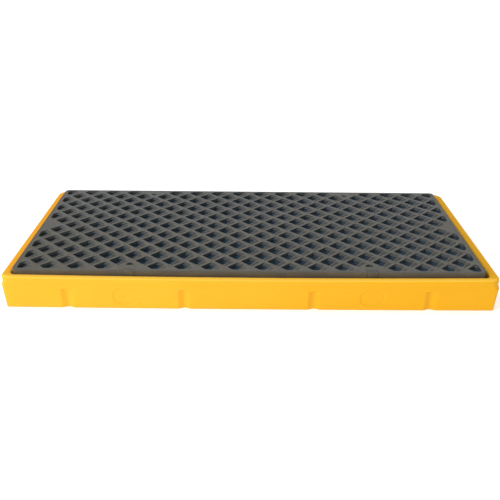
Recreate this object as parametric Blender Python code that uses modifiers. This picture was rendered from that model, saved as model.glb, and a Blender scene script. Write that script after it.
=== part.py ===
"""Low two-drum spill deck: a moulded sump tray and a lift-off lattice deck on push-on legs.

Metres, +Z up. The origin is on the floor under the middle of the tray, and +X runs along its length.
Two equal drum places stand side by side, so the tray is laid out as two modules.
"""
import math

import bmesh
import bpy
from mathutils import Matrix, Vector

# Tray
LENGTH = 1.300
DEPTH = 0.670
RIM_HEIGHT = 0.092
SKIN = 0.006
CORNER_RADIUS = 0.022
INNER_CORNER_RADIUS = 0.006
CORNER_STEPS = 6
EDGE_STEPS = 3
RIM_WIDTH = 0.022
RIM_THICKNESS = 0.016
RIM_ROUND = 0.006
RIM_INNER_ROUND = 0.0035
FOOT_ROUND = 0.004
UNDERCUT_ROUND = 0.003
BASE_INSET = 0.007
SHELF_INSET = 0.0018
SHELF_STEP = 0.003
BAND_BOTTOM = 0.064
BAND_BOTTOM_INSET = 0.0010
BAND_TOP = 0.079
BAND_TOP_INSET = 0.0020
LIP_STEP = 0.0035
MODULE_CENTRES = (-LENGTH / 4, LENGTH / 4)

# Flutes pressed into the tray's walls, two to each module side
FLUTE_MOUTH = 0.032
FLUTE_FLOOR = 0.012
FLUTE_INSET = 0.006
FLUTE_TOP = 0.058
FLUTE_OFFSET = 0.153

# Shallow oval seats for a drain fitting, one in the middle of each module side
SEAT_WIDTH = 0.066
SEAT_HEIGHT = 0.055
SEAT_CENTRE = 0.038
SEAT_SINK = 0.0015
SEAT_SEGMENTS = 24

# Deck
DECK_LENGTH = 1.2445
DECK_DEPTH = 0.6138
DECK_TOP = 0.103
DECK_THICKNESS = 0.040
DECK_BOTTOM = DECK_TOP - DECK_THICKNESS
DECK_CORNER = 0.012
DECK_CORNER_STEPS = 6

# Lattice: square holes on a square grid turned by 45 degrees, in columns along X and rows along Y
RIB_PITCH = 0.050
HOLE_SIDE = 0.034
CELL = RIB_PITCH * math.sqrt(2)
BORDER_X = 0.0122
BORDER_Y = 0.0089
FIELD_X = DECK_LENGTH / 2 - BORDER_X
FIELD_Y = DECK_DEPTH / 2 - BORDER_Y
COLUMNS = 9
ROWS = 4
PATCH_COLUMN = 4.5
PATCH_EDGE = 0.032
PATCH_WEB = 0.012

# A shallow trough runs beside each hole, along its front right side
TROUGH_START = 0.0204
TROUGH_EDGE = 0.0260
TROUGH_HALF = 0.0165
TROUGH_DEPTH = 0.0060

# Joining clips, dropped into dovetail pockets in the solid patches
CLIP_X = PATCH_COLUMN * CELL
CLIP_MOUTH = 0.028
CLIP_TAIL = 0.033
CLIP_DEPTH = 0.009
CLIP_NOSE = 0.003
CLIP_HEIGHT = 0.020
CLIP_SINK = 0.0005

# Support legs, pushed up over the rib crossings
LEG_COLUMNS = (-8, -4, 0, 4, 8)
LEG_ROWS = (-3, 0, 3)
LEG_RADIUS = 0.024
LEG_BORE = 0.0195
FOOT_RADIUS = 0.030
FOOT_HEIGHT = 0.005
FOOT_SLOPE = 0.007
LEG_PRONG = 0.014
LEG_STEPS = 16
RIB_WIDTH = RIB_PITCH - HOLE_SIDE
RIB_PLAY = 0.0005

CLEARANCE = 0.010
GAP = 0.0003
MERGE = 0.00005


def clear_scene():
    for obj in list(bpy.data.objects):
        bpy.data.objects.remove(obj, do_unlink=True)


def new_collection(name):
    collection = bpy.data.collections.new(name)
    bpy.context.scene.collection.children.link(collection)
    return collection


def new_material(name, colour, roughness):
    material = bpy.data.materials.new(name)
    material.use_nodes = True
    shader = material.node_tree.nodes["Principled BSDF"]
    shader.inputs["Base Color"].default_value = (*colour, 1.0)
    shader.inputs["Roughness"].default_value = roughness
    shader.inputs["Metallic"].default_value = 0.0
    return material


def new_object(name, mesh, collection, material=None):
    obj = bpy.data.objects.new(name, mesh)
    collection.objects.link(obj)
    if material:
        mesh.materials.clear()
        mesh.materials.append(material)
    return obj


def mesh_from(bm, name):
    bmesh.ops.recalc_face_normals(bm, faces=bm.faces)
    mesh = bpy.data.meshes.new(name)
    bm.to_mesh(mesh)
    bm.free()
    return mesh


def as_cutter(obj):
    obj.hide_render = True
    obj.display_type = "WIRE"
    return obj


def add_boolean(obj, cutter, operation="DIFFERENCE"):
    modifier = obj.modifiers.new(cutter.name, "BOOLEAN")
    modifier.operation = operation
    modifier.solver = "EXACT"
    modifier.object = cutter


def add_block(bm, low, high):
    """A box between two corners."""
    size = [b - a for a, b in zip(low, high)]
    centre = [(a + b) / 2 for a, b in zip(low, high)]
    matrix = Matrix.Translation(centre) @ Matrix.Diagonal((*size, 1.0))
    bmesh.ops.create_cube(bm, size=1.0, matrix=matrix)


def add_prism(bm, outline, low, high):
    """An upright prism on a plan outline that runs anticlockwise."""
    base = [bm.verts.new((x, y, low)) for x, y in outline]
    face = bm.faces.new(base)
    raised = bmesh.ops.extrude_face_region(bm, geom=[face])
    top = [item for item in raised["geom"] if isinstance(item, bmesh.types.BMVert)]
    bmesh.ops.translate(bm, verts=top, vec=(0, 0, high - low))


# Sump tray

def side_points(across, flute, centres):
    """The flutes of one straight side as (along, across) points, sunk by the given amount."""
    points = []
    for centre in centres:
        points.append((centre - FLUTE_MOUTH / 2, across))
        points.append((centre - FLUTE_FLOOR / 2, across - flute))
        points.append((centre + FLUTE_FLOOR / 2, across - flute))
        points.append((centre + FLUTE_MOUTH / 2, across))
    return points


def tray_outline(inset, flute):
    """The tray's plan outline at one level, anticlockwise from the front side's first flute."""
    half_x = LENGTH / 2 - inset
    half_y = DEPTH / 2 - inset
    radius = max(CORNER_RADIUS - inset, INNER_CORNER_RADIUS)
    short_centres = [-FLUTE_OFFSET, FLUTE_OFFSET]
    long_centres = [module + offset for module in MODULE_CENTRES for offset in short_centres]
    outline = []
    for quarter in range(4):
        along, across = (half_x, half_y) if quarter % 2 == 0 else (half_y, half_x)
        centres = long_centres if quarter % 2 == 0 else short_centres
        side = [(a, -b) for a, b in side_points(across, flute, centres)]
        for step in range(CORNER_STEPS + 1):
            angle = math.pi / 2 * (step / CORNER_STEPS - 1)
            x = along - radius + radius * math.cos(angle)
            y = -across + radius + radius * math.sin(angle)
            side.append((x, y))
        turn = Matrix.Rotation(quarter * math.pi / 2, 2)
        outline += [tuple(turn @ Vector(point)) for point in side]
    return outline


def rounded_edge(inset, height, radius, start, end, flute=0.0):
    """An edge of the wall's section rounded about a centre, between two angles from straight outwards."""
    angles = [math.radians(start + (end - start) * step / EDGE_STEPS) for step in range(EDGE_STEPS + 1)]
    return [(inset - radius * math.cos(angle), height + radius * math.sin(angle), flute) for angle in angles]


def tray_levels():
    """The wall's section as (inset, height, flute) from the underside, over the rim, to the sump floor."""
    foot = rounded_edge(BASE_INSET + FOOT_ROUND, FOOT_ROUND, FOOT_ROUND, -90, 0, FLUTE_INSET)
    wall = [
        (SHELF_INSET, FLUTE_TOP, FLUTE_INSET),
        (SHELF_INSET, FLUTE_TOP + SHELF_STEP, 0.0),
        (BAND_BOTTOM_INSET, BAND_BOTTOM, 0.0),
        (BAND_TOP_INSET, BAND_TOP - LIP_STEP, 0.0),
        (0.0, BAND_TOP + LIP_STEP, 0.0),
    ]
    rim = rounded_edge(RIM_ROUND, RIM_HEIGHT - RIM_ROUND, RIM_ROUND, 0, 90)
    rim += rounded_edge(RIM_WIDTH - RIM_INNER_ROUND, RIM_HEIGHT - RIM_INNER_ROUND, RIM_INNER_ROUND, 90, 180)
    rim += [(RIM_WIDTH, RIM_HEIGHT - RIM_THICKNESS, 0.0)]
    inner = SKIN + SHELF_INSET
    undercut = RIM_HEIGHT - RIM_THICKNESS
    inside = [
        (inner + UNDERCUT_ROUND, undercut, 0.0),
        (inner, undercut - UNDERCUT_ROUND, 0.0),
        (inner, FLUTE_TOP + SHELF_STEP, 0.0),
        (inner, FLUTE_TOP - SHELF_STEP, FLUTE_INSET),
        (SKIN + BASE_INSET, SKIN + FOOT_ROUND, FLUTE_INSET),
        (SKIN + BASE_INSET + FOOT_ROUND, SKIN, FLUTE_INSET),
    ]
    return foot + wall + rim + inside


def drain_seat_cutters(collection):
    """Oval plugs that sink each drain seat square to the drafted wall."""
    rise = FLUTE_TOP - FOOT_ROUND
    run = BASE_INSET - SHELF_INSET
    draft = math.atan2(run, rise)
    wall_inset = BASE_INSET - (SEAT_CENTRE - FOOT_ROUND) * run / rise
    bm = bmesh.new()
    spots = [(quarter, along) for quarter in (0, 2) for along in MODULE_CENTRES] + [(1, 0.0), (3, 0.0)]
    for quarter, along in spots:
        half = (DEPTH if quarter % 2 == 0 else LENGTH) / 2
        oval = Matrix.Diagonal((SEAT_WIDTH / 2, SEAT_HEIGHT / 2, 1.0, 1.0))
        place = Matrix.Rotation(quarter * math.pi / 2, 4, "Z")
        place @= Matrix.Translation((along, -(half - wall_inset), SEAT_CENTRE))
        place @= Matrix.Rotation(math.pi / 2 + draft, 4, "X")
        matrix = place @ oval
        bmesh.ops.create_cone(bm, cap_ends=True, segments=SEAT_SEGMENTS, radius1=1.0, radius2=1.0,
                              depth=2 * SEAT_SINK, matrix=matrix)
    return as_cutter(new_object("drain_seat_cutter", mesh_from(bm, "drain_seat_cutter"), collection))


def build_tray(parts, cutters):
    bm = bmesh.new()
    rings = []
    for inset, height, flute in tray_levels():
        rings.append([bm.verts.new((x, y, height)) for x, y in tray_outline(inset, flute)])
    count = len(rings[0])
    for lower, upper in zip(rings, rings[1:]):
        for i in range(count):
            j = (i + 1) % count
            bm.faces.new((lower[i], lower[j], upper[j], upper[i]))
    bm.faces.new(list(reversed(rings[0])))
    bm.faces.new(rings[-1])
    yellow = new_material("tray_yellow", (0.95, 0.47, 0.02), 0.45)
    tray = new_object("sump_tray", mesh_from(bm, "sump_tray"), parts, yellow)
    add_boolean(tray, drain_seat_cutters(cutters))
    return tray


# Deck

def hole_centres():
    """Centres of the through holes, of the part holes at the long edges' patches, and of the blind ones."""
    through = []
    for i in range(1 - COLUMNS, COLUMNS):
        through += [(i * CELL, (j + 0.5) * CELL) for j in range(-ROWS, ROWS)]
    part = []
    blind = []
    for i in range(-COLUMNS, COLUMNS):
        for j in range(-ROWS, ROWS + 1):
            column = i + 0.5
            if abs(column) == PATCH_COLUMN and abs(j) == ROWS:
                part.append((column * CELL, j * CELL))
            elif abs(column) == COLUMNS - 0.5 and j == 0:
                blind.append((column * CELL, j * CELL))
            else:
                through.append((column * CELL, j * CELL))
    return through, part, blind


def hole_cell():
    """Corners of a square hole, as (towards front right, towards rear right) of its centre."""
    half = HOLE_SIDE / 2
    return ((-half, -half), (half, -half), (half, half), (-half, half))


def trough_cell():
    """Corners of the trough beside a hole."""
    return ((TROUGH_START, -TROUGH_HALF), (TROUGH_EDGE, -TROUGH_HALF), (TROUGH_EDGE, TROUGH_HALF),
            (TROUGH_START, TROUGH_HALF))


def cell_outline(x, y, cell):
    """A cell's corners as anticlockwise plan points about one hole centre."""
    ahead = Vector((1, -1)).normalized()
    along = Vector((1, 1)).normalized()
    return [tuple(Vector((x, y)) + f * ahead + g * along) for f, g in cell]


def cell_cutter(name, centres, cell, low, high, collection):
    """Upright prisms on one cell shape, one for each hole centre."""
    bm = bmesh.new()
    for x, y in centres:
        add_prism(bm, cell_outline(x, y, cell), low, high)
    return as_cutter(new_object(name, mesh_from(bm, name), collection))


def hole_cutter(name, centres, half_y, high, collection):
    """Square prisms from below the deck up to one level, cut off where the solid border begins."""
    cutter = cell_cutter(name, centres, hole_cell(), DECK_BOTTOM - CLEARANCE, high, collection)
    field = bmesh.new()
    add_block(field, (-FIELD_X, -half_y, 0.0), (FIELD_X, half_y, 2 * DECK_TOP))
    limit = as_cutter(new_object(name + "_field", mesh_from(field, name + "_field"), collection))
    add_boolean(cutter, limit, "INTERSECT")
    return cutter


def trough_centres(centres):
    """The holes whose trough lies clear of the deck's solid border."""
    clear = []
    for x, y in centres:
        outline = cell_outline(x, y, trough_cell())
        if all(abs(a) < FIELD_X and abs(b) < FIELD_Y for a, b in outline):
            clear.append((x, y))
    return clear


def clip_outline(play, reach):
    """Dovetail in plan for a clip on the front edge, which lies along Y = 0."""
    tail = CLIP_TAIL / 2 + play
    mouth = CLIP_MOUTH / 2 + play
    return [(-mouth, -reach), (mouth, -reach), (mouth, 0.0), (tail, CLIP_DEPTH + play),
            (-tail, CLIP_DEPTH + play), (-mouth, 0.0)]


def clip_places():
    return [(side, edge) for edge in (-1, 1) for side in (-1, 1)]


def placed_outline(outline, side, edge):
    """The front edge outline moved to its own edge of the deck, kept anticlockwise."""
    return [(side * CLIP_X - edge * x, edge * (DECK_DEPTH / 2 - y)) for x, y in outline]


def build_deck(parts, cutters):
    bm = bmesh.new()
    half_x = DECK_LENGTH / 2
    half_y = DECK_DEPTH / 2
    add_block(bm, (-half_x, -half_y, DECK_BOTTOM), (half_x, half_y, DECK_TOP))
    upright = [e for e in bm.edges if abs(e.verts[0].co.z - e.verts[1].co.z) > DECK_THICKNESS / 2]
    bmesh.ops.bevel(bm, geom=upright, offset=DECK_CORNER, segments=DECK_CORNER_STEPS, profile=0.5,
                    affect="EDGES")
    black = new_material("deck_black", (0.045, 0.045, 0.045), 0.7)
    deck = new_object("deck_grating", mesh_from(bm, "deck_grating"), parts, black)

    through, part, blind = hole_centres()
    above = DECK_TOP + CLEARANCE
    add_boolean(deck, hole_cutter("lattice_cutter", through, FIELD_Y, above, cutters))
    add_boolean(deck, hole_cutter("patch_cutter", part, half_y - PATCH_EDGE, above, cutters))
    add_boolean(deck, hole_cutter("blind_cutter", blind, FIELD_Y, DECK_TOP - PATCH_WEB, cutters))
    troughs = trough_centres(through)
    floor = DECK_TOP - TROUGH_DEPTH
    add_boolean(deck, cell_cutter("trough_cutter", troughs, trough_cell(), floor, above, cutters))

    pockets = bmesh.new()
    for side, edge in clip_places():
        outline = placed_outline(clip_outline(GAP, 2 * CLIP_NOSE), side, edge)
        add_prism(pockets, outline, DECK_TOP - CLIP_HEIGHT, DECK_TOP + CLIP_HEIGHT)
    name = "clip_pocket_cutter"
    add_boolean(deck, as_cutter(new_object(name, mesh_from(pockets, name), cutters)))
    return deck


def build_clips(parts):
    names = {(-1, -1): "front_left", (1, -1): "front_right", (-1, 1): "rear_left", (1, 1): "rear_right"}
    clips = []
    for side, edge in clip_places():
        bm = bmesh.new()
        outline = placed_outline(clip_outline(0.0, CLIP_NOSE), side, edge)
        add_prism(bm, outline, DECK_TOP - CLIP_HEIGHT + GAP, DECK_TOP - CLIP_SINK)
        name = "joining_clip_" + names[(side, edge)]
        nylon = new_material(name + "_black", (0.02, 0.021, 0.024), 0.5)
        clips.append(new_object(name, mesh_from(bm, name), parts, nylon))
    return clips


# Support legs

def leg_mesh(cutters):
    """A turned tube with a spread foot and a top slotted to straddle a crossing of two ribs."""
    foot = SKIN + GAP
    top = DECK_BOTTOM + LEG_PRONG
    shoulder = foot + FOOT_HEIGHT
    profile = [(LEG_RADIUS, top), (LEG_RADIUS, shoulder + FOOT_SLOPE), (FOOT_RADIUS, shoulder),
               (FOOT_RADIUS, foot), (LEG_BORE, foot), (LEG_BORE, top)]
    bm = bmesh.new()
    ring = [bm.verts.new((radius, 0.0, height)) for radius, height in profile]
    for start, end in zip(ring, ring[1:] + ring[:1]):
        bm.edges.new((start, end))
    mesh = bpy.data.meshes.new("leg_section")
    bm.to_mesh(mesh)
    bm.free()
    turned = new_object("leg_section", mesh, cutters)
    screw = turned.modifiers.new("turn", "SCREW")
    screw.steps = LEG_STEPS
    screw.render_steps = LEG_STEPS
    screw.use_merge_vertices = True
    screw.merge_threshold = MERGE

    half = RIB_WIDTH / 2 + RIB_PLAY
    for turn in (45, 135):
        bm = bmesh.new()
        add_block(bm, (-2 * FOOT_RADIUS, -half, DECK_BOTTOM - GAP), (2 * FOOT_RADIUS, half, 2 * DECK_TOP))
        bmesh.ops.rotate(bm, verts=bm.verts, matrix=Matrix.Rotation(math.radians(turn), 3, "Z"))
        name = f"leg_slot_cutter_{turn}"
        add_boolean(turned, as_cutter(new_object(name, mesh_from(bm, name), cutters)))
    as_cutter(turned)
    graph = bpy.context.evaluated_depsgraph_get()
    return bpy.data.meshes.new_from_object(turned.evaluated_get(graph))


def build_legs(parts, cutters):
    mesh = leg_mesh(cutters)
    legs = []
    for row, j in zip("abc", LEG_ROWS):
        for column, i in enumerate(LEG_COLUMNS, start=1):
            name = f"support_leg_{row}{column}"
            copy = mesh.copy()
            leg = new_object(name, copy, parts, new_material(name + "_black", (0.03, 0.03, 0.032), 0.6))
            leg.location = (i * CELL, j * CELL, 0.0)
            legs.append(leg)
    return legs


def shade(obj):
    obj.data.shade_smooth()
    obj.data.set_sharp_from_angle(angle=math.radians(35))


def main():
    clear_scene()
    parts = new_collection("spill_containment_pallet")
    cutters = new_collection("cutters")
    tray = build_tray(parts, cutters)
    lifted = [build_deck(parts, cutters)]
    lifted += build_clips(parts)
    lifted += build_legs(parts, cutters)

    lift = bpy.data.objects.new("deck_lift_axis", None)
    parts.objects.link(lift)
    for obj in lifted:
        obj.parent = lift
    for obj in [tray] + lifted:
        shade(obj)


main()
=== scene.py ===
"""A low spill deck: a yellow sump tray and a black lattice deck that lifts off it, in a white studio."""
import math

import bmesh
import bpy
from mathutils import Matrix, Vector, noise
from mathutils.geometry import delaunay_2d_cdt


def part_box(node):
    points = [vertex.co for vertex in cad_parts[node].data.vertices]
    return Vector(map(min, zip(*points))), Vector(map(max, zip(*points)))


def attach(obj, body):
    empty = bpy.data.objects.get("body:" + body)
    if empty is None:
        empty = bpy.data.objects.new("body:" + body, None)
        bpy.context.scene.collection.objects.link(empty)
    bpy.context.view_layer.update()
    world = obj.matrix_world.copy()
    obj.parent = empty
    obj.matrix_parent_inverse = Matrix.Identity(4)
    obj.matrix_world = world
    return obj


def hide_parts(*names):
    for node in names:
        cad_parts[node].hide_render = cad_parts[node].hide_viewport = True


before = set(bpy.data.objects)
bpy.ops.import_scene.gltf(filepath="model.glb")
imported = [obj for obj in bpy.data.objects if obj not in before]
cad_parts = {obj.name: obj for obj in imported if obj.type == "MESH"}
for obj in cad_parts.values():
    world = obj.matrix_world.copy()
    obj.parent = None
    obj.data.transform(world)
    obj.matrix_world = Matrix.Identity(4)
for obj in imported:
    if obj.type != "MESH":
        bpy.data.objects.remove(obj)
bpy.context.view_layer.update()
_, tray_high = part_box("sump_tray")
deck_low, deck_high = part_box("deck_grating")


# Tray, metres
HALF_X = tray_high.x
HALF_Y = tray_high.y
RIM_Z = tray_high.z
BASE_INSET = 0.007
SHELF_INSET = 0.0018
SHELF_Z = 0.061

# Corners in plan. CORNER_RADII are at the rim, anticlockwise from the front right
FRONT_RADIUS, REAR_RADIUS = 0.026, 0.034
CORNER_RADII = (FRONT_RADIUS, REAR_RADIUS, REAR_RADIUS, FRONT_RADIUS)
FOOT_RADIUS = 0.012
INNER_RADIUS = 0.017
LEAST_RADIUS = 0.001
FLARE_Z, FLARE_RISE = 0.060, 0.026
CORNER_STEPS = 10

# The wall's section: rounds as (radius, steps), and points as (inset, height) or (inset, depth below the
# rim). Rings are insets of flat rows. The wall rises in even steps to FINE_Z, then in finer ones
FOOT_ROUND, FOOT_STEPS = 0.003, 4
UNDERSIDE_RINGS = (0.030, 0.006)
FINE_Z, FINE_STEP = 0.0555, 0.0007
WALL_STEPS, FINE_STEPS = 34, 8
BAND = [(0.0011, 0.0632), (0.0009, 0.0655), (0.0011, 0.0680), (0.0016, 0.0715), (0.0019, 0.0740),
        (0.0020, 0.0755), (0.0018, 0.0767), (0.0013, 0.0780), (0.0007, 0.0797), (0.0003, 0.0818),
        (0.0001, 0.0838)]
RIM_WIDTH = 0.022
RIM_ROUND, RIM_STEPS = 0.006, 7
RIM_INNER_ROUND, RIM_INNER_STEPS = 0.0058, 5
RIM_TOP_RINGS = (0.0095, 0.0130)
RIM_UNDERSIDE = [(0.0220, 0.0080), (0.0220, 0.0153), (0.0214, 0.0160), (0.0108, 0.0163), (0.0090, 0.0172),
                 (0.0082, 0.0190)]
INNER_WALL = [(0.0078, 0.064), (0.0078, 0.0605), (0.0079, 0.059), (0.0081, 0.0575), (0.0083, 0.056),
              (0.0097, 0.040), (0.0115, 0.024), (0.0128, 0.011)]
SUMP_Z = 0.006
SUMP_INSET = 0.0130
SUMP_ROUND, SUMP_STEPS = 0.004, 5
SUMP_RINGS = (0.024, 0.046)

# Flutes and drain seats pressed into the wall: each module of a long side has a seat between two flutes
RECESS_TOP = 0.0635
FLUTE_DEPTH = 0.0063
FLUTE_HALF = 0.0175
FLUTE_FLOOR = 0.0005
FLUTE_TOP = 0.0585
FLUTE_FADE = 0.0030
FLUTE_SOFTNESS = 0.8
FLUTE_SPREAD = 0.153
MODULE = 0.323
MODULE_SHIFT = -0.0040
SEAT_HALF_WIDTH = 0.034
SEAT_HALF_HEIGHT = 0.0275
SEAT_Z = 0.038
SEAT_SINK = 0.0011
SEAT_EDGE = 0.0022
SEAT_RING = 0.0007
RING_PLACE, RING_HALF_WIDTH = 0.92, 0.0028
DIMPLE_RADIUS, DIMPLE_DEPTH = 0.0026, 0.0016

# Sample places along a side: (half width, step) about each flute and seat, and the step elsewhere.
# The samples within the straight share of a side stay put; the rest stretch to meet the corner's arc
FLUTE_SAMPLES = (0.020, 0.0016)
SEAT_SAMPLES = (0.0365, 0.0015)
COARSE = 0.018
COARSE_MARGIN = 0.3
SAMPLE_DIGITS = 6
STRAIGHT = 0.8

# Faults of the moulding
BOW = 0.0040
SAG = 0.0032
SAG_Z, SAG_RISE = 0.045, 0.035
WAVE = 0.0004
WAVE_ALONG, WAVE_UP = 4.2, 9.0
WAVE_FADE = 0.010

# Deck, metres
DECK_X = deck_high.x
DECK_Y = deck_high.y
DECK_TOP = deck_high.z
DECK_BOTTOM = deck_low.z
DECK_CORNER, DECK_CORNER_STEPS = 0.012, 8
DECK_EDGE, DECK_EDGE_STEPS = 0.0018, 4
DECK_SIDE = [(0.0012, DECK_BOTTOM), (0.0003, DECK_BOTTOM + 0.0004), (0.0, DECK_BOTTOM + 0.0014),
             (0.0, DECK_TOP - 0.012)]
DECK_SPACING = 0.025
DECK_LEFT, DECK_SHRINK = 0.0032, 0.0012

# Lattice: a hole narrows towards its rear right beside a slanted lip, with a trough beyond the lip.
# Columns and rows are counted in cells from the middle, and match when they are as close as NEAR
PITCH = 0.050
CELL = PITCH * math.sqrt(2)
COLUMNS, ROWS = 9, 4
FIELD_X = DECK_X - 0.0122
FIELD_Y = DECK_Y - 0.0089
PATCH_COLUMN = 4.5
PATCH_EDGE = 0.032
PATCH_WEB = 0.012
NEAR = 0.1
HOLE_HALF = 0.0172
HOLE_DRAFT = 0.0002
HOLE_ROUND, HOLE_STEPS = 0.0040, 4
LIP_FRONT, LIP_REAR = 0.0172, 0.0092
LIP_WIDTH = 0.0034
SLOPE = 0.0056
FLANGE = 0.0070
TROUGH_EDGE = 0.0242
TROUGH_DEPTH = 0.0034
TROUGH_ROUND, TROUGH_STEPS = 0.0016, 6
TROUGH_CORNER = 0.0125
WIDE_CORNER_REACH = 0.003
TROUGH_LEAST_SHARE = 0.35
FLOOR_NEAR, FLOOR_FAR, FLOOR_END = 0.0022, 0.0007, 0.0015
SHORTEST_EDGE = 0.0012
LEAST_ARC = 0.0004
FILL_EPSILON = 1e-7

# The most of an edge that the arc at one of its ends may take: on a plain outline, then on a trough's
EVEN_SHARE = 0.46
WIDE_CORNER_SHARE, OTHER_CORNER_SHARE = 0.7, 0.3

# Walls from the deck's top down, as (outline, inset, height) for a hole and (inset, height) for a trough
MOUTH, UPPER, LOWER = range(3)
HOLE_WALL = [
    (MOUTH, -0.0006, 0.0),
    (MOUTH, -0.0001, -0.0002),
    (MOUTH, 0.0003, -0.0008),
    (UPPER, 0.0003, -0.0042),
    (UPPER, 0.0013, -FLANGE),
    (UPPER, 0.0008, -FLANGE - 0.0005),
    (UPPER, -0.0018, -FLANGE - 0.0010),
    (UPPER, -0.0018, -0.0140),
    (LOWER, -0.0005, -0.0230),
    (LOWER, 0.0, -0.0390),
    (LOWER, -0.0010, DECK_BOTTOM - DECK_TOP),
]
TROUGH_WALL = [(-0.0006, 0.0), (-0.00018, -0.00018), (0.0, -0.0006)]
TROUGH_FLOOR_INSET = 0.0003

# The wall of a hole that is closed on top, upwards, as (inset, height)
BLIND_WALL = [(-0.0012, DECK_BOTTOM), (0.0, DECK_BOTTOM + 0.0012), (0.0008, DECK_TOP - PATCH_WEB)]

# Clips and legs, metres
CLIPS = ("front_left", "front_right", "rear_left", "rear_right")
CLIP_MOUTH_HALF, CLIP_TAIL_HALF, CLIP_DEPTH = 0.014, 0.0165, 0.009
CLIP_NOSE = 0.0002
CLIP_BEVEL, CLIP_BEVEL_STEPS = 0.0006, 3
POCKET_PLAY = 0.0001
POCKET_REACH, POCKET_RISE = 0.012, 0.01
LEG_OUTER, LEG_BORE, LEG_FOOT = 0.024, 0.0195, 0.030
LEG_EASE, LEG_MOUTH_EASE = 0.0010, 0.0008
LEG_STEPS = 48
SLOT_HALF, SLOT_PLAY = 0.0085, 0.0003
SLOT_LENGTH, SLOT_HEIGHT = 0.12, 0.10

# Shading: the angles in degrees from which edges stay sharp, and how much large faces lead the normals
SHARP = 35
SHELL_SHARP = 40
CLIP_SHARP = 50
NORMAL_WEIGHT = 60

# Studio, metres, degrees and watts
SKY_TOWARDS = (-0.52, -0.27, 1.08)
SKY_RANGE, SKY_STRENGTH = (0.10, 1.0), (0.22, 1.42)
SKY_COLOUR = (0.97, 0.985, 1.0, 1.0)
KEY_WATTS, KEY_SIZE = 54.0, (1.6, 1.0)
KEY_PLACE, KEY_TARGET = (-2.6, -3.0, 1.55), (0.0, 0.0, 0.05)
KEY_COLOUR = (1.0, 0.985, 0.96)
FLOOR_SIZE, FLOOR_CELLS, FLOOR_GLOW = 90.0, 8, 0.31
CAMERA_PLACE = (-0.0123, -1.9553, 0.91175)
CAMERA_PITCH, CAMERA_YAW, CAMERA_ROLL = 24.421, 0.321, 0.627
CAMERA_LENS, CAMERA_SENSOR = 50.75, 36.0
CAMERA_CLIP = (0.05, 300.0)


def link(name, mesh):
    obj = bpy.data.objects.new(name, mesh)
    bpy.context.scene.collection.objects.link(obj)
    return obj


def plain_mesh(bm, name):
    bmesh.ops.recalc_face_normals(bm, faces=bm.faces)
    mesh = bpy.data.meshes.new(name)
    bm.to_mesh(mesh)
    bm.free()
    return mesh


def finish_mesh(bm, name, sharp=SHARP):
    mesh = plain_mesh(bm, name)
    mesh.shade_smooth()
    mesh.set_sharp_from_angle(angle=math.radians(sharp))
    return mesh


def cut(obj, cutter, solver):
    modifier = obj.modifiers.new(cutter.name, "BOOLEAN")
    modifier.operation = "DIFFERENCE"
    modifier.solver = solver
    modifier.object = cutter


def apply_modifiers(obj):
    graph = bpy.context.evaluated_depsgraph_get()
    mesh = bpy.data.meshes.new_from_object(obj.evaluated_get(graph))
    obj.modifiers.clear()
    old = obj.data
    obj.data = mesh
    bpy.data.meshes.remove(old)


def weigh_normals(obj):
    modifier = obj.modifiers.new("weighted_normals", "WEIGHTED_NORMAL")
    modifier.keep_sharp = True
    modifier.weight = NORMAL_WEIGHT


def place(piece, body, nodes, material):
    piece.data.materials.clear()
    piece.data.materials.append(material)
    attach(piece, body)
    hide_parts(*nodes)
    return piece


def smooth(t):
    """An even rise from 0 to 1 that starts and ends level."""
    t = min(max(t, 0.0), 1.0)
    return t * t * (3 - 2 * t)


def bridge(bm, lower, upper):
    """Faces between two rings of as many points."""
    count = len(lower)
    for i in range(count):
        j = (i + 1) % count
        bm.faces.new((lower[i], lower[j], upper[j], upper[i]))


def rounded_edge(inset, height, radius, start, end, steps):
    """An arc of a section about a centre, between two angles from straight outwards."""
    angles = [math.radians(start + (end - start) * step / steps) for step in range(steps + 1)]
    return [(inset - radius * math.cos(angle), height + radius * math.sin(angle)) for angle in angles]


# Materials

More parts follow.
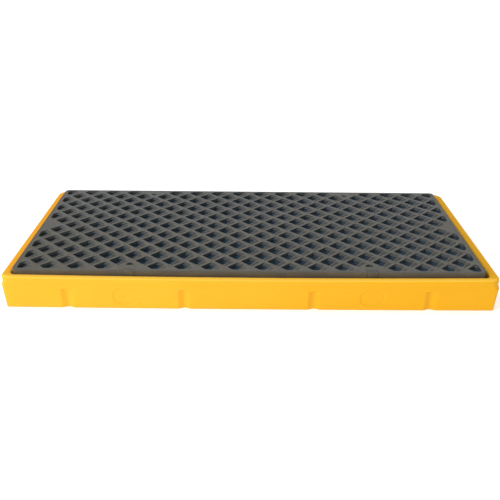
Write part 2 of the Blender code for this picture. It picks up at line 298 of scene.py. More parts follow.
class Nodes:
    """Short calls for building one Principled material in the object's own coordinates."""

    def __init__(self, name):
        self.material = bpy.data.materials.new(name)
        self.material.use_nodes = True
        self.tree = self.material.node_tree
        self.shader = self.tree.nodes["Principled BSDF"]
        self.place = self.tree.nodes.new("ShaderNodeTexCoord").outputs["Object"]
        self.facing = self.tree.nodes.new("ShaderNodeTexCoord").outputs["Normal"]

    def link(self, value, socket):
        if hasattr(value, "links"):
            self.tree.links.new(value, socket)
        else:
            socket.default_value = value

    def noise(self, scale, detail=3.0, roughness=0.55, stretch=(1, 1, 1)):
        mapping = self.tree.nodes.new("ShaderNodeMapping")
        mapping.inputs["Scale"].default_value = stretch
        self.tree.links.new(self.place, mapping.inputs["Vector"])
        node = self.tree.nodes.new("ShaderNodeTexNoise")
        self.tree.links.new(mapping.outputs["Vector"], node.inputs["Vector"])
        node.inputs["Scale"].default_value = scale
        node.inputs["Detail"].default_value = detail
        node.inputs["Roughness"].default_value = roughness
        return node.outputs["Fac"]

    def span(self, value, low, high, to_low=0.0, to_high=1.0):
        """A smooth change from one value to another while the input goes from low to high."""
        node = self.tree.nodes.new("ShaderNodeMapRange")
        node.interpolation_type = "SMOOTHSTEP"
        self.link(value, node.inputs["Value"])
        self.link(low, node.inputs["From Min"])
        self.link(high, node.inputs["From Max"])
        self.link(to_low, node.inputs["To Min"])
        self.link(to_high, node.inputs["To Max"])
        return node.outputs["Result"]

    def maths(self, operation, a, b=0.0):
        node = self.tree.nodes.new("ShaderNodeMath")
        node.operation = operation
        self.link(a, node.inputs[0])
        self.link(b, node.inputs[1])
        return node.outputs["Value"]

    def times(self, a, b):
        return self.maths("MULTIPLY", a, b)

    def axes(self, vector):
        node = self.tree.nodes.new("ShaderNodeSeparateXYZ")
        self.tree.links.new(vector, node.inputs["Vector"])
        return node.outputs["X"], node.outputs["Y"], node.outputs["Z"]

    def mix(self, factor, a, b):
        node = self.tree.nodes.new("ShaderNodeMix")
        node.data_type = "RGBA"
        self.link(factor, node.inputs["Factor"])
        self.link((*a, 1.0) if isinstance(a, tuple) else a, node.inputs["A"])
        self.link((*b, 1.0) if isinstance(b, tuple) else b, node.inputs["B"])
        return node.outputs["Result"]

    def bump(self, height, strength, distance, below=None):
        node = self.tree.nodes.new("ShaderNodeBump")
        node.inputs["Strength"].default_value = strength
        node.inputs["Distance"].default_value = distance
        self.tree.links.new(height, node.inputs["Height"])
        if below is not None:
            self.tree.links.new(below, node.inputs["Normal"])
        return node.outputs["Normal"]

    def finish(self, colour, roughness, normal):
        self.link(colour, self.shader.inputs["Base Color"])
        self.link(roughness, self.shader.inputs["Roughness"])
        self.tree.links.new(normal, self.shader.inputs["Normal"])
        return self.material


def yellow_plastic():
    """Moulded yellow, dirty at the foot, with painted shade that deepens it to the right and on the left
    rim, and a painted highlight on the front rim.
    """
    n = Nodes("tray_yellow")
    x, y, z = n.axes(n.place)
    _, _, upward = n.axes(n.facing)
    broad = n.noise(5.0, 2.0)
    cloud = n.noise(28.0, 4.0, 0.6)
    scuff = n.noise(90.0, 5.0, 0.7, stretch=(1.0, 1.0, 0.18))
    colour = n.mix(n.span(broad, 0.3, 0.7), (0.88, 0.438, 0.021), (0.90, 0.460, 0.025))
    # Painted shade: the yellow deepens towards the right, where the light falls off.
    colour = n.mix(n.span(x, -0.5, 0.6, 0.0, 0.8), colour, (0.77, 0.376, 0.002))
    colour = n.mix(n.span(cloud, 0.55, 0.8, 0.0, 0.25), colour, (0.92, 0.385, 0.012))
    colour = n.mix(n.span(scuff, 0.66, 0.8, 0.0, 0.30), colour, (0.97, 0.62, 0.10))

    # Painted highlight: the upward faces of the front rim turn lighter and paler.
    front_rim = n.span(y, 0.025 - HALF_Y, 0.012 - HALF_Y)
    front_rim_highlight = n.times(n.span(upward, 0.3, 0.9, 0.0, 0.75), front_rim)
    colour = n.mix(front_rim_highlight, colour, (0.96, 0.58, 0.062))
    # Painted shade: the upward faces of the left rim, behind the front, turn deeper orange.
    left_rim_shade = n.times(n.span(upward, 0.3, 0.8, 0.0, 0.7), n.span(x, 0.032 - HALF_X, 0.024 - HALF_X))
    behind_front = n.span(y, 0.030 - HALF_Y, 0.060 - HALF_Y)
    colour = n.mix(n.times(left_rim_shade, behind_front), colour, (0.94, 0.370, 0.004))

    floor_dirt = n.times(n.span(z, 0.0, 0.010, 1.0, 0.0), n.span(cloud, 0.35, 0.75, 0.05, 0.40))
    colour = n.mix(floor_dirt, colour, (0.45, 0.30, 0.10))
    roughness = n.span(cloud, 0.3, 0.7, 0.38, 0.52)
    normal = n.bump(n.noise(520.0, 2.0), 0.20, 0.0004)
    normal = n.bump(n.noise(42.0, 2.0), 0.18, 0.0010, normal)
    material = n.finish(colour, roughness, normal)
    n.shader.inputs["Specular IOR Level"].default_value = 0.16
    return material


def black_plastic(name, dust_and_sheen_share):
    """Black plastic: painted blue fill light in its holes that gives way to grey towards the left end,
    painted light on the upper walls that face the key, a dusting on top with painted sheen and shade, silt
    in the troughs, and grimy streaks with a painted yellow reflection on its sides.
    """
    n = Nodes(name)
    x, y, z = n.axes(n.place)
    facing_x, facing_y, facing_z = n.axes(n.facing)
    broad = n.noise(3.2, 3.0)
    cloud = n.noise(38.0, 4.0, 0.65)
    fine = n.noise(130.0, 4.0, 0.7)
    streak = n.noise(16.0, 5.0, 0.7, stretch=(1.0, 1.0, 3.0))
    mottle = n.span(cloud, 0.2, 0.7, 0.7, 1.0)

    # Painted light: deep in the holes, a lifted bluish base stands in for blue fill light. Near the top it
    # turns black.
    colour = n.mix(n.span(broad, 0.3, 0.7), (0.066, 0.124, 0.188), (0.072, 0.127, 0.188))
    near_top = n.span(z, DECK_TOP - 0.015, DECK_TOP - 0.005)
    colour = n.mix(near_top, colour, (0.037, 0.045, 0.049))
    # Painted light: deep in the holes, the blue gives way to grey towards the left end, on the key light's
    # side.
    colour = n.mix(n.span(x, -0.35, -0.60, 0.0, 0.6), colour, (0.088, 0.092, 0.086))

    # Painted light: the upper walls that face the key light, to the front left, turn a plain grey, not
    # blue.
    leaning = n.maths("ADD", facing_x, facing_y)
    key_lit_walls = n.times(n.span(z, DECK_TOP - 0.0105, DECK_TOP - 0.0050), n.span(leaning, -0.35, -1.25))
    colour = n.mix(n.times(key_lit_walls, mottle), colour, (0.045, 0.045, 0.042))
    silt = n.times(n.span(facing_z, 0.86, 0.97), mottle)
    colour = n.mix(silt, colour, (0.062, 0.063, 0.060))

    tan = n.mix(n.span(broad, 0.35, 0.65), (0.145, 0.131, 0.105), (0.130, 0.121, 0.103))
    # Painted shade and sheen: the dusting on top darkens and browns towards the left end, and turns greyer
    # towards the rear.
    tan = n.mix(n.span(x, -0.20, -0.60, 0.0, 0.7), tan, (0.110, 0.101, 0.078))
    tan = n.mix(n.span(y, -0.25, 0.25), tan, (0.143, 0.140, 0.133))
    tan = n.mix(n.span(fine, 0.48, 0.70, 0.0, 0.5), tan, (0.182, 0.172, 0.146))
    tan = n.mix(n.span(fine, 0.48, 0.28, 0.0, 0.5), tan, (0.082, 0.075, 0.060))
    top = n.times(n.span(facing_z, 0.84, 0.97), n.span(z, DECK_TOP - 0.004, DECK_TOP - 0.001))
    dust_and_sheen = n.times(top, n.span(cloud, 0.25, 0.75, 0.65 * dust_and_sheen_share, dust_and_sheen_share))
    colour = n.mix(dust_and_sheen, colour, tan)

    ends = n.span(n.maths("ABSOLUTE", x), DECK_X - 0.004, DECK_X - 0.002)
    long_sides = n.span(n.maths("ABSOLUTE", y), DECK_Y - 0.004, DECK_Y - 0.002)
    side = n.maths("MAXIMUM", ends, long_sides)
    colour = n.mix(side, colour, (0.060, 0.062, 0.058))
    # Grimy streaks on the deck's sides, with a painted reflection of the yellow rim that turns them more
    # orange towards their foot.
    grime_and_yellow_reflection = n.times(side, n.span(streak, 0.3, 0.75, 0.35, 1.0))
    upper_side = n.span(z, DECK_TOP - 0.014, DECK_TOP - 0.002)
    colour = n.mix(grime_and_yellow_reflection, colour, n.mix(upper_side, (0.135, 0.098, 0.050), (0.110, 0.098, 0.075)))

    roughness = n.span(cloud, 0.3, 0.7, 0.48, 0.66)
    normal = n.bump(n.noise(420.0, 3.0), 0.25, 0.0004)
    normal = n.bump(cloud, 0.22, 0.0012, normal)
    material = n.finish(colour, roughness, normal)
    n.shader.inputs["Specular IOR Level"].default_value = 0.35
    return material


def nylon(name, colour, roughness):
    n = Nodes(name)
    cloud = n.noise(120.0, 4.0, 0.6)
    shade = n.mix(n.span(cloud, 0.3, 0.7), colour, tuple(1.5 * c for c in colour))
    normal = n.bump(n.noise(900.0, 2.0), 0.2, 0.0003)
    return n.finish(shade, n.span(cloud, 0.3, 0.7, roughness, roughness + 0.12), normal)


# Tray

def dense(limit, spots):
    """Sample places along a side: close together over each spot, wide apart elsewhere."""
    samples = set()
    count = round(2 * limit / COARSE)
    for i in range(count + 1):
        along = -limit + 2 * limit * i / count
        if all(abs(along - centre) > half + COARSE * COARSE_MARGIN for centre, half, _ in spots):
            samples.add(round(along, SAMPLE_DIGITS))
    for centre, half, step in spots:
        steps = round(2 * half / step)
        for i in range(steps + 1):
            samples.add(round(centre - half + 2 * half * i / steps, SAMPLE_DIGITS))
    return sorted(samples)


def side_layout(quarter):
    """(half length, half depth, flute centres, seat centres) of one side."""
    if quarter % 2 == 0:
        seats = [side * MODULE + MODULE_SHIFT for side in (-1, 1)]
        flutes = [seat + side * FLUTE_SPREAD for seat in seats for side in (-1, 1)]
        return HALF_X, HALF_Y, flutes, seats
    return HALF_Y, HALF_X, [-FLUTE_SPREAD, FLUTE_SPREAD], [0.0]


def flute_depth(reach, height):
    """How far a flute is pressed in at some reach from its middle."""
    t = (FLUTE_HALF - reach) / (FLUTE_HALF - FLUTE_FLOOR)
    profile = FLUTE_SOFTNESS * smooth(t) + (1 - FLUTE_SOFTNESS) * min(t, 1.0) * smooth(3 * t)
    return FLUTE_DEPTH * profile * (1 - smooth((height - FLUTE_TOP + FLUTE_FADE / 2) / FLUTE_FADE))


def seat_depth(along, height):
    """How far an oval drain seat is pressed in, with a ring inside its edge and a dimple in its middle."""
    distance = math.hypot(along / SEAT_HALF_WIDTH, (height - SEAT_Z) / SEAT_HALF_HEIGHT)
    if distance >= 1.0:
        return 0.0
    depth = SEAT_SINK * smooth((1.0 - distance) * SEAT_HALF_HEIGHT / SEAT_EDGE)
    depth += SEAT_RING * smooth(1 - abs(RING_PLACE - distance) * SEAT_HALF_HEIGHT / RING_HALF_WIDTH)
    depth += DIMPLE_DEPTH * smooth(1.0 - math.hypot(along, height - SEAT_Z) / DIMPLE_RADIUS)
    return depth


def recess(along, height, flutes, seats, with_seats):
    """How far the wall is pressed in at one place."""
    if height >= RECESS_TOP:
        return 0.0
    depth = 0.0
    for centre in flutes:
        reach = abs(along - centre)
        if reach < FLUTE_HALF:
            depth = flute_depth(reach, height)
    if with_seats:
        for centre in seats:
            depth += seat_depth(along - centre, height)
    return depth


def wall_rows():
    """The wall's section as (inset, height, outside), from the underside over the rim to the sump floor."""
    foot = BASE_INSET + FOOT_ROUND
    outside = [(foot + reach, 0.0) for reach in UNDERSIDE_RINGS]
    outside += rounded_edge(foot, FOOT_ROUND, FOOT_ROUND, -90, 0, FOOT_STEPS)
    heights = [FOOT_ROUND + (FINE_Z - FOOT_ROUND) * k / WALL_STEPS for k in range(1, WALL_STEPS + 1)]
    heights += [FINE_Z + FINE_STEP * k for k in range(1, FINE_STEPS + 1)]
    for height in heights:
        t = (height - FOOT_ROUND) / (SHELF_Z - FOOT_ROUND)
        outside.append((BASE_INSET + (SHELF_INSET - BASE_INSET) * t, height))
    outside += BAND
    outside += rounded_edge(RIM_ROUND, RIM_Z - RIM_ROUND, RIM_ROUND, 0, 90, RIM_STEPS)
    outside += [(inset, RIM_Z) for inset in RIM_TOP_RINGS]

    lip = RIM_WIDTH - RIM_INNER_ROUND
    inside = rounded_edge(lip, RIM_Z - RIM_INNER_ROUND, RIM_INNER_ROUND, 90, 180, RIM_INNER_STEPS)
    inside += [(inset, RIM_Z - below) for inset, below in RIM_UNDERSIDE]
    inside += INNER_WALL
    hollow = rounded_edge(SUMP_INSET + SUMP_ROUND, SUMP_Z + SUMP_ROUND, SUMP_ROUND, 0, -90, SUMP_STEPS)
    inside += hollow[1:]
    inside += [(inset, SUMP_Z) for inset in SUMP_RINGS]
    return [(*row, True) for row in outside] + [(*row, False) for row in inside]


def corner_radius(rim, inset, height, outside):
    """The wall's corners are tight at the foot and open out under the rim."""
    if outside:
        flare = smooth((height - FLARE_Z) / FLARE_RISE)
        return max(FOOT_RADIUS + (rim - FOOT_RADIUS) * flare - inset, LEAST_RADIUS)
    return max(rim - inset, INNER_RADIUS)


def warped(x, y, height):
    """A place on the tray as moulded: the wall waves a little, the ends draw in and the rim sags."""
    ripple = WAVE * (0.5 + 0.5 * noise.noise(Vector((WAVE_ALONG * x, WAVE_ALONG * y, WAVE_UP * height))))
    pull = ripple * smooth(min(height, RIM_Z - height) / WAVE_FADE)
    length = math.hypot(x, y)
    x, y = x * (1 - pull / length), y * (1 - pull / length)
    end = (x / HALF_X) ** 2
    frontness, rearness = 0.5 - 0.5 * y / HALF_Y, 0.5 + 0.5 * y / HALF_Y
    drop = SAG * (1 - end) * frontness + 0.5 * SAG * end * rearness
    return x, y * (1 - BOW * end / HALF_Y), height - drop * smooth((height - SAG_Z) / SAG_RISE)


def tray_ring(inset, height, outside, samples):
    """One level of the wall, anticlockwise from the left end of the front side."""
    ring = []
    for quarter in range(4):
        along, across, flutes, seats = side_layout(quarter)
        start_radius = corner_radius(CORNER_RADII[quarter - 1], inset, height, outside)
        end_radius = corner_radius(CORNER_RADII[quarter], inset, height, outside)
        limit = along - FRONT_RADIUS
        side = []
        for sample in samples[quarter % 2]:
            sunk = recess(sample, height, flutes, seats, outside)
            end = along - inset - (start_radius if sample < 0 else end_radius)
            spread = max(0.0, abs(sample) / limit - STRAIGHT) / (1 - STRAIGHT) * (end - limit)
            side.append((math.copysign(abs(sample) + spread, sample), -(across - inset - sunk)))
        centre_x, centre_y = along - inset - end_radius, -(across - inset - end_radius)
        for step in range(1, CORNER_STEPS):
            angle = math.pi / 2 * (step / CORNER_STEPS - 1)
            side.append((centre_x + end_radius * math.cos(angle), centre_y + end_radius * math.sin(angle)))
        turn = Matrix.Rotation(quarter * math.pi / 2, 2)
        ring += [warped(*(turn @ Vector(point)), height) for point in side]
    return ring


def build_tray():
    samples = []
    for quarter in range(2):
        along, _, flutes, seats = side_layout(quarter)
        spots = [(centre, *FLUTE_SAMPLES) for centre in flutes]
        spots += [(centre, *SEAT_SAMPLES) for centre in seats]
        samples.append(dense(along - FRONT_RADIUS, spots))
    bm = bmesh.new()
    rings = [[bm.verts.new(point) for point in tray_ring(*row, samples)] for row in wall_rows()]
    for lower, upper in zip(rings, rings[1:]):
        bridge(bm, lower, upper)
    bm.faces.new(list(reversed(rings[0])))
    bm.faces.new(rings[-1])
    return link("tray_shell", finish_mesh(bm, "tray_shell", SHELL_SHARP))


# Deck outlines, as anticlockwise points in plan

def clip_polygon(points, low, high):
    """The part of a convex polygon inside a rectangle, without its shortest edges."""
    for axis, limit, sign in ((0, low[0], 1), (0, high[0], -1), (1, low[1], 1), (1, high[1], -1)):
        kept = []
        for a, b in zip(points, points[1:] + points[:1]):
            inside_a, inside_b = sign * (a[axis] - limit), sign * (b[axis] - limit)
            if inside_a >= 0:
                kept.append(a)
            if inside_a * inside_b < 0:
                kept.append(a + (b - a) * (inside_a / (inside_a - inside_b)))
        points = kept
        if not points:
            return []
    return [p for i, p in enumerate(points) if (p - points[i - 1]).length > SHORTEST_EDGE]


def offset_polygon(points, distance):
    """A convex polygon with every edge moved inward by a distance."""
    count = len(points)
    moved = []
    for i in range(count):
        before = (points[i] - points[i - 1]).normalized()
        after = (points[(i + 1) % count] - points[i]).normalized()
        normal = Vector((-before.y, before.x)) + Vector((-after.y, after.x))
        moved.append(points[i] + normal * (distance / (1 + before.dot(after))))
    return moved


def corner_arc(corner, wide, radius):
    """(radius, most share of an edge) of one corner's arc: wide is the trough's wide corner, if any."""
    if wide is None:
        return radius, EVEN_SHARE
    if (corner - wide).length < WIDE_CORNER_REACH:
        return TROUGH_CORNER, WIDE_CORNER_SHARE
    return radius, OTHER_CORNER_SHARE


def rounded(points, radius, steps, wide=None):
    """The same polygon with an arc at each corner, and a wide arc at the corner near one point."""
    count = len(points)
    out = []
    for i in range(count):
        corner = points[i]
        back = points[i - 1] - corner
        ahead = points[(i + 1) % count] - corner
        half = back.angle(ahead) / 2
        own, share = corner_arc(corner, wide, radius)
        reach = min(own / math.tan(half), share * back.length, share * ahead.length)
        own = reach * math.tan(half)
        back.normalize()
        ahead.normalize()
        centre = corner + (back + ahead).normalized() * (own / math.sin(half))
        start = corner + back * reach - centre
        end = corner + ahead * reach - centre
        sweep = start.angle_signed(end)
        for step in range(steps + 1):
            out.append(centre + Matrix.Rotation(-sweep * step / steps, 2) @ start)
    return out


def cell_points(centre, corners):
    """Points given as (towards front right, towards rear right) of a cell's centre, as plan points."""
    ahead = Vector((1, -1)).normalized()
    along = Vector((1, 1)).normalized()
    return [Vector(centre) + f * ahead + g * along for f, g in corners]


def hole_outline(centre):
    """A hole beside its lip, which slants inward towards the rear right."""
    h = HOLE_HALF
    return cell_points(centre, ((-h, -h), (LIP_FRONT, -h), (LIP_REAR, h), (-h, h)))


def mouth_outline(centre):
    """The hole's outline on the deck's top, where its rear right side slopes away."""
    h = HOLE_HALF
    far = LIP_REAR - SLOPE * (LIP_FRONT - LIP_REAR) / (2 * h)
    return cell_points(centre, ((-h, -h), (LIP_FRONT, -h), (far, h + SLOPE), (-h, h + SLOPE)))


def square_outline(centre):
    """The plain square hole in the lower part of the deck."""
    h = HOLE_HALF - HOLE_DRAFT
    return cell_points(centre, ((-h, -h), (h, -h), (h, h), (-h, h)))


def trough_outline(centre):
    """The trough beside a hole, beyond its lip."""
    h = HOLE_HALF
    front, rear = LIP_FRONT + LIP_WIDTH, LIP_REAR + LIP_WIDTH
    return cell_points(centre, ((front, -h), (TROUGH_EDGE, -h), (TROUGH_EDGE, h), (rear, h)))


def trough_floor(centre):
    """The lowest part of a trough, along its outer side."""
    near, far, end = TROUGH_EDGE - FLOOR_NEAR, TROUGH_EDGE - FLOOR_FAR, HOLE_HALF - FLOOR_END
    return cell_points(centre, ((near, -end), (far, -end), (far, end), (near, end)))


def area(points):
    return sum(a.cross(b) for a, b in zip(points, points[1:] + points[:1])) / 2


def matching(outline, model):
    """The outline, or the model where the border has left the two with different numbers of corners."""
    return outline if len(outline) == len(model) else model


def cell_centres():
    """Centres of the holes: a grid of cells, and a second one in its gaps."""
    rows = range(-ROWS, ROWS)
    centres = [(i * CELL, (j + 0.5) * CELL) for i in range(1 - COLUMNS, COLUMNS) for j in rows]
    rows = range(-ROWS, ROWS + 1)
    centres += [((i + 0.5) * CELL, j * CELL) for i in range(-COLUMNS, COLUMNS) for j in rows]
    return centres


def lattice():
    """The holes as (mouth, upper, lower) outlines, then the outlines of the holes that are closed on top,
    then the troughs as (outline, floor, wide corner)."""
    holes, blind, troughs = [], [], []
    limit = Vector((FIELD_X, FIELD_Y))
    for centre in cell_centres():
        column, row = abs(centre[0] / CELL), abs(centre[1] / CELL)
        patch = abs(column - PATCH_COLUMN) < NEAR and row > ROWS - NEAR
        reach = Vector((FIELD_X, DECK_Y - PATCH_EDGE)) if patch else limit
        lower = clip_polygon(square_outline(centre), -reach, reach)
        if column > COLUMNS - 0.5 - NEAR and row < NEAR:
            blind.append(lower)
            continue
        upper = clip_polygon(hole_outline(centre), -reach, reach)
        mouth = clip_polygon(mouth_outline(centre), -reach, reach)
        holes.append((matching(mouth, upper), upper, matching(lower, upper)))
        if not patch:
            full = trough_outline(centre)
            trough = clip_polygon(full, -limit, limit)
            floor = clip_polygon(trough_floor(centre), -limit, limit)
            if len(trough) > 2 and area(trough) > TROUGH_LEAST_SHARE * area(full):
                troughs.append((trough, matching(floor, trough), full[2]))
    return holes, blind, troughs


def deck_outline(inset):
    """The deck's plan outline with extra points along its straight sides."""
    x, y = DECK_X - inset, DECK_Y - inset
    corners = [Vector((x, -y)), Vector((x, y)), Vector((-x, y)), Vector((-x, -y))]
    points = rounded(corners, DECK_CORNER - inset, DECK_CORNER_STEPS)
    out = []
    for a, b in zip(points, points[1:] + points[:1]):
        pieces = max(1, round((b - a).length / DECK_SPACING))
        out += [a.lerp(b, k / pieces) for k in range(pieces)]
    return out


# Deck

def fill_plane(bm, outer, inner, upward):
    """Triangles between one outer ring and the rings inside it, all at one height."""
    verts, faces = [], []
    for ring in [outer] + inner:
        faces.append(list(range(len(verts), len(verts) + len(ring))))
        verts += ring
    points = [vert.co.to_2d() for vert in verts]
    _, _, triangles, sources, _, owners = delaunay_2d_cdt(points, [], faces, 0, FILL_EPSILON, True)
    for triangle, owner in zip(triangles, owners):
        if owner == [0]:
            corners = [verts[sources[i][0]] for i in triangle]
            bm.faces.new(corners if upward else corners[::-1])


def sleeve(bm, levels, radius, steps, wide=None):
    """The wall of one hole through (outline, inset, height) levels. Returns its first and last rings."""
    rings = []
    for outline, inset, height in levels:
        ring = rounded(offset_polygon(outline, inset), max(radius - inset, LEAST_ARC), steps, wide)
        rings.append([bm.verts.new((p.x, p.y, height)) for p in ring])
    for upper, lower in zip(rings, rings[1:]):
        bridge(bm, upper, lower)
    return rings[0], rings[-1]


def add_deck_side(bm):
    """The deck's outer side. Returns its lowest and highest rings."""
    section = DECK_SIDE + rounded_edge(DECK_EDGE, DECK_TOP - DECK_EDGE, DECK_EDGE, 0, 90, DECK_EDGE_STEPS)
    rings = [[bm.verts.new((p.x, p.y, height)) for p in deck_outline(inset)] for inset, height in section]
    for lower, upper in zip(rings, rings[1:]):
        bridge(bm, lower, upper)
    return rings[0], rings[-1]


def pocket_cutter():
    """Prisms that cut the clips' pockets into the deck's edges."""
    bm = bmesh.new()
    for corner in CLIPS:
        low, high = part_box("joining_clip_" + corner)
        points = clip_points(low, high, POCKET_PLAY, POCKET_REACH)
        lower = [bm.verts.new((x, y, low.z - POCKET_PLAY)) for x, y in points]
        upper = [bm.verts.new((x, y, DECK_TOP + POCKET_RISE)) for x, y in points]
        bridge(bm, lower, upper)
        bm.faces.new(lower[::-1])
        bm.faces.new(upper)
    return link("pockets", plain_mesh(bm, "pockets"))


def build_deck():
    holes, blind, troughs = lattice()
    bm = bmesh.new()
    lowest, highest = add_deck_side(bm)
    top, bottom = [], []
    for outlines in holes:
        levels = [(outlines[which], inset, DECK_TOP + height) for which, inset, height in HOLE_WALL]
        upper, lower = sleeve(bm, levels, HOLE_ROUND, HOLE_STEPS)
        top.append(upper)
        bottom.append(lower)
    for outline in blind:
        levels = [(outline, inset, height) for inset, height in BLIND_WALL]
        lower, upper = sleeve(bm, levels, HOLE_ROUND, HOLE_STEPS)
        bottom.append(lower)
        bm.faces.new(upper)
    for outline, low, wide in troughs:
        levels = [(outline, inset, DECK_TOP + height) for inset, height in TROUGH_WALL]
        levels.append((low, TROUGH_FLOOR_INSET, DECK_TOP - TROUGH_DEPTH))
        upper, floor = sleeve(bm, levels, TROUGH_ROUND, TROUGH_STEPS, wide)
        top.append(upper)
        bm.faces.new(floor)
    fill_plane(bm, highest, top, True)
    fill_plane(bm, lowest, bottom, False)
    for vert in bm.verts:
        vert.co.x -= DECK_LEFT + DECK_SHRINK * vert.co.x / DECK_X
    deck = link("lattice_deck", finish_mesh(bm, "lattice_deck"))

    cutter = pocket_cutter()
    cut(deck, cutter, "MANIFOLD")
    apply_modifiers(deck)
    bpy.data.objects.remove(cutter, do_unlink=True)
    deck.data.set_sharp_from_angle(angle=math.radians(SHARP))
    weigh_normals(deck)
    return deck


# Clips and legs

def clip_points(low, high, play, reach):
    """A clip's dovetail in plan at its own edge of the deck, kept anticlockwise."""
    tail = CLIP_TAIL_HALF + play
    mouth = CLIP_MOUTH_HALF + play
    depth = CLIP_DEPTH + play
    outline = [(-mouth, -reach), (mouth, -reach), (mouth, 0.0),
               (tail, depth), (-tail, depth), (-mouth, 0.0)]
    facing = -1 if low.y < 0 else 1
    middle = (low.x + high.x) / 2
    return [(middle - facing * x, facing * (DECK_Y - y)) for x, y in outline]


def build_clip(corner):
    low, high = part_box("joining_clip_" + corner)
    reach = min(CLIP_NOSE, max(abs(low.y), abs(high.y)) - DECK_Y)
    bm = bmesh.new()
    base = bm.faces.new([bm.verts.new((x, y, low.z)) for x, y in clip_points(low, high, 0.0, reach)])
    raised = bmesh.ops.extrude_face_region(bm, geom=[base])
    top = [item for item in raised["geom"] if isinstance(item, bmesh.types.BMVert)]
    bmesh.ops.translate(bm, verts=top, vec=(0, 0, high.z - low.z))
    bmesh.ops.bevel(bm, geom=bm.edges[:], offset=CLIP_BEVEL, segments=CLIP_BEVEL_STEPS, profile=0.5,
                    affect="EDGES")
    return link("joining_clip_body_" + corner, finish_mesh(bm, "clip_" + corner, CLIP_SHARP))


def leg_section(base, top):
    """A tube with a spread foot and eased edges, as (radius, height) down the outside and up the bore."""
    return [
        (LEG_OUTER - LEG_EASE, top),
        (LEG_OUTER, top - LEG_EASE),
        (LEG_OUTER, base + 0.016),
        (LEG_OUTER + 0.0008, base + 0.0125),
        (LEG_OUTER + 0.0030, base + 0.0085),
        (LEG_FOOT - 0.0012, base + 0.0050),
        (LEG_FOOT, base + 0.0040),
        (LEG_FOOT, base + LEG_EASE),
        (LEG_FOOT - LEG_EASE, base),
        (LEG_BORE + LEG_EASE, base),
        (LEG_BORE, base + LEG_EASE),
        (LEG_BORE, top - LEG_MOUTH_EASE),
        (LEG_BORE + LEG_MOUTH_EASE, top),
    ]


def leg_mesh(low, high):
    """A push-on leg about its own axis, with two crossed slots that leave four prongs."""
    bm = bmesh.new()
    angles = [2 * math.pi * k / LEG_STEPS for k in range(LEG_STEPS)]
    rings = []
    for radius, height in leg_section(low.z, high.z):
        points = [(radius * math.cos(angle), radius * math.sin(angle), height) for angle in angles]
        rings.append([bm.verts.new(point) for point in points])
    for a, b in zip(rings, rings[1:] + rings[:1]):
        bridge(bm, a, b)
    tube = link("leg_tube", finish_mesh(bm, "leg_tube", SHELL_SHARP))
    cutters = []
    for turn in (45, 135):
        bm = bmesh.new()
        matrix = Matrix.Rotation(math.radians(turn), 4, "Z")
        matrix @= Matrix.Translation((0, 0, DECK_BOTTOM - SLOT_PLAY + SLOT_HEIGHT / 2))
        matrix @= Matrix.Diagonal((SLOT_LENGTH, 2 * SLOT_HALF, SLOT_HEIGHT, 1.0))
        bmesh.ops.create_cube(bm, size=1.0, matrix=matrix)
        cutter = link("leg_slot", finish_mesh(bm, "leg_slot"))
        cutters.append(cutter)
        cut(tube, cutter, "EXACT")
    apply_modifiers(tube)
    mesh = tube.data
    mesh.set_sharp_from_angle(angle=math.radians(SHELL_SHARP))
    for obj in cutters + [tube]:
        bpy.data.objects.remove(obj, do_unlink=True)
    return mesh


def build_legs(material):
    low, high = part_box("support_leg_a1")
    mesh = leg_mesh(low, high)
    for row in "abc":
        for column in range(1, 6):
            node = f"support_leg_{row}{column}"
            low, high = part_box(node)
            leg = link(f"leg_{row}{column}", mesh.copy())
            leg.location = ((low.x + high.x) / 2, (low.y + high.y) / 2, 0.0)
            weigh_normals(leg)
            place(leg, "deck", [node], material)


# Studio

def build_world():
    """A sky that brightens towards the upper left front."""
    world = bpy.data.worlds.new("studio")
    bpy.context.scene.world = world
    world.use_nodes = True
    tree = world.node_tree
    towards = tree.nodes.new("ShaderNodeVectorMath")
    towards.operation = "DOT_PRODUCT"
    tree.links.new(tree.nodes.new("ShaderNodeTexCoord").outputs["Generated"], towards.inputs[0])
    towards.inputs[1].default_value = Vector(SKY_TOWARDS).normalized()
    ramp = tree.nodes.new("ShaderNodeMapRange")
    ramp.interpolation_type = "SMOOTHSTEP"
    tree.links.new(towards.outputs["Value"], ramp.inputs["Value"])
    ramp.inputs["From Min"].default_value, ramp.inputs["From Max"].default_value = SKY_RANGE
    ramp.inputs["To Min"].default_value, ramp.inputs["To Max"].default_value = SKY_STRENGTH
    sky = tree.nodes["Background"]
    sky.inputs["Color"].default_value = SKY_COLOUR
    tree.links.new(ramp.outputs["Result"], sky.inputs["Strength"])


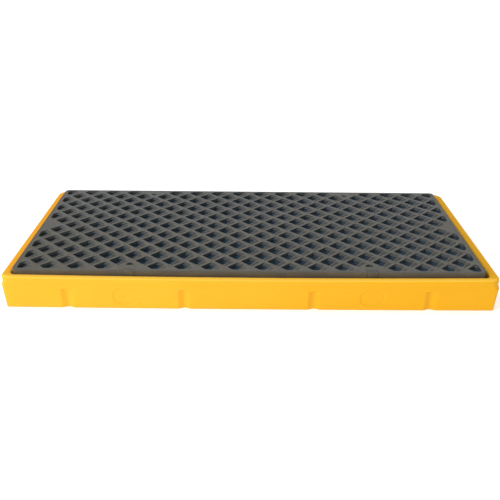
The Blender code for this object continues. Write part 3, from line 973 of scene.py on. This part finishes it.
def build_key_light():
    light = bpy.data.lights.new("key", "AREA")
    light.shape = "RECTANGLE"
    light.size, light.size_y = KEY_SIZE
    light.energy = KEY_WATTS
    light.color = KEY_COLOUR
    key = link("key", light)
    key.location = KEY_PLACE
    key.rotation_mode = "QUATERNION"
    key.rotation_quaternion = (Vector(KEY_TARGET) - Vector(KEY_PLACE)).to_track_quat("-Z", "Y")


def build_floor():
    bm = bmesh.new()
    bmesh.ops.create_grid(bm, x_segments=FLOOR_CELLS, y_segments=FLOOR_CELLS, size=FLOOR_SIZE)
    floor = link("floor", finish_mesh(bm, "floor"))
    n = Nodes("floor_white")
    colour = n.mix(n.span(n.noise(0.8, 2.0), 0.3, 0.7), (0.95, 0.95, 0.95), (0.97, 0.97, 0.97))
    floor.data.materials.append(n.finish(colour, 0.7, n.bump(n.noise(60.0, 2.0), 0.05, 0.001)))
    n.shader.inputs["Emission Color"].default_value = (1.0, 1.0, 1.0, 1.0)
    n.shader.inputs["Emission Strength"].default_value = FLOOR_GLOW


def build_camera():
    data = bpy.data.cameras.new("camera")
    camera = link("camera", data)
    pitch, yaw, roll = (math.radians(angle) for angle in (CAMERA_PITCH, CAMERA_YAW, CAMERA_ROLL))
    forward = Vector((math.sin(yaw) * math.cos(pitch), math.cos(yaw) * math.cos(pitch), -math.sin(pitch)))
    level = Vector((math.cos(yaw), -math.sin(yaw), 0.0))
    rise = level.cross(forward)
    right = math.cos(roll) * level + math.sin(roll) * rise
    up = -math.sin(roll) * level + math.cos(roll) * rise
    turn = Matrix((right, up, -forward)).transposed().to_4x4()
    camera.matrix_world = Matrix.Translation(CAMERA_PLACE) @ turn
    data.lens = CAMERA_LENS
    data.sensor_width = CAMERA_SENSOR
    data.clip_start, data.clip_end = CAMERA_CLIP
    bpy.context.scene.camera = camera


bpy.context.scene.view_settings.view_transform = "Standard"
build_world()
build_key_light()
build_floor()
build_camera()
place(build_tray(), "tray", ["sump_tray"], yellow_plastic())
place(build_deck(), "deck", ["deck_grating"], black_plastic("deck_black", 1.0))
clip_material = black_plastic("clip_black", 0.7)
for corner in CLIPS:
    place(build_clip(corner), "deck", ["joining_clip_" + corner], clip_material)
build_legs(nylon("leg_black", (0.022, 0.023, 0.025), 0.5))
